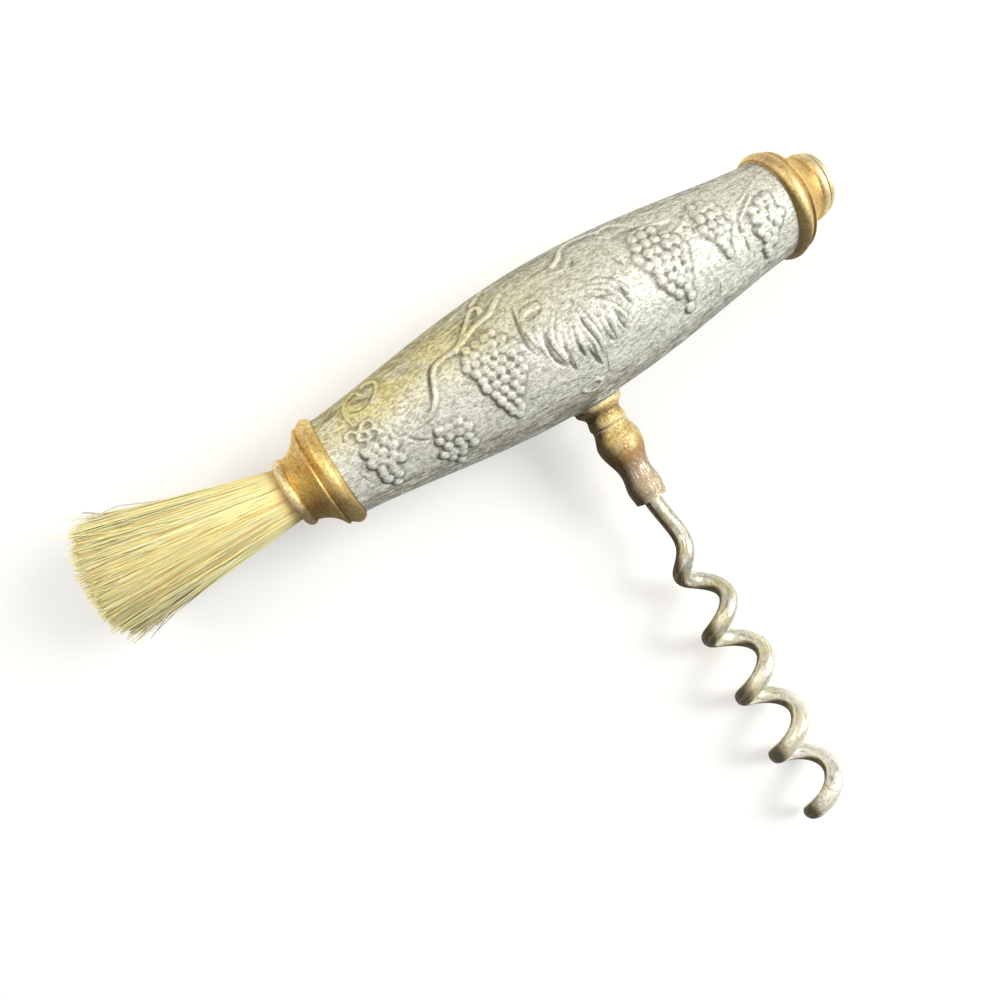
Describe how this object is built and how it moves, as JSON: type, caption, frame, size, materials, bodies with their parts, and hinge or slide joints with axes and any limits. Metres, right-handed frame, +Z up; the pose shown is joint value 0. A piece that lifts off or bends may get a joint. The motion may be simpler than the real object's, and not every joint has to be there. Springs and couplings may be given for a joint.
{
  "type": "t-handle corkscrew",
  "caption": "Direct-pull corkscrew with a barrel-shaped cast metal cross handle, brass ferrules, a bristle dusting brush at one end and a helical steel worm on a turned brass shank.",
  "frame": {"origin": "where the axis of the handle meets the axis of the worm, with the tool lying on its side on a table", "axes": "+X along the handle from the brush to the plain end, +Z up from the table, the worm towards -Y and dipping until it lies on the table"},
  "size_m": [0.1347, 0.1094, 0.0256],
  "materials": {
    "pewter": "antiqued cast pewter with raised grapes and vine leaves, dark in the hollows and bright on the high places",
    "ferrule_brass": "turned antique brass, dull in the grooves",
    "shank_brass": "turned brass, worn to a pinkish grey towards the worm",
    "worm_steel": "drawn steel wire with long scratches and warm tarnish",
    "core_wood": "plain turned beech",
    "bristle": "pale straw bristle with golden streaks",
    "setting_pitch": "dark brush-setting pitch"
  },
  "bodies": {
    "root": {"handle_sleeve": "pewter", "handle_core": "core_wood", "brush_ferrule": "ferrule_brass", "end_ferrule": "ferrule_brass", "end_button": "ferrule_brass", "brush_bristles": "bristle", "brush_pitch": "setting_pitch", "knot_band": "ferrule_brass", "shank_collar": "shank_brass", "shank": "shank_brass", "worm": "worm_steel"}
  },
  "joints": []
}
